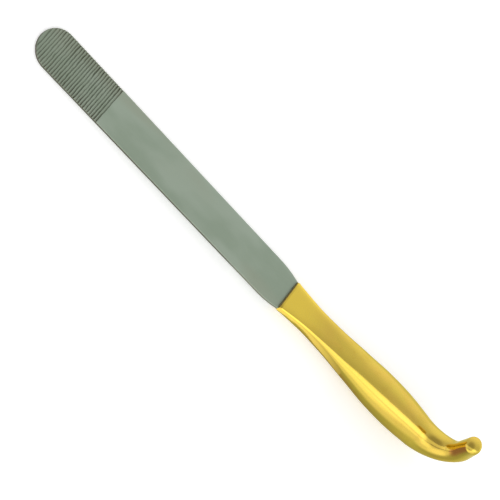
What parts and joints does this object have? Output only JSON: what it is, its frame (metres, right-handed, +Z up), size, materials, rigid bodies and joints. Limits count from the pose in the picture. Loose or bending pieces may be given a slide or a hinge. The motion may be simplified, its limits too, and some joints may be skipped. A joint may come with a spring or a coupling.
{
  "type": "farrier rasp",
  "caption": "Slim hand rasp: flat round-ended steel blade with file teeth across its tip, on a hollow gold-plated handle that swells and bends up into a small pull hook.",
  "frame": {"origin": "middle of the tool's length and width, on the surface it lies on", "axes": "+X towards the blade's tip, +Y across the blade, +Z up; the toothed side and the hook face up"},
  "size_m": [0.321, 0.0238, 0.053],
  "materials": {
    "satin_steel": "fine satin, glass-bead blasted",
    "gold_plate": "polished gold plate over brass",
    "solder": "tarnished braze, matt",
    "plain_steel": "as turned and filed",
    "cement": "matt, as poured"
  },
  "bodies": {
    "root": {"blade": "satin_steel", "mouth_solder": "solder", "throat_block": "plain_steel", "tang_rivet_front": "plain_steel", "tang_rivet_rear": "plain_steel", "tang_cement": "cement", "handle_shell_left": "gold_plate", "handle_shell_right": "gold_plate", "shell_seam_solder": "gold_plate", "hook_joint_solder": "gold_plate", "pull_hook": "gold_plate"}
  },
  "joints": []
}
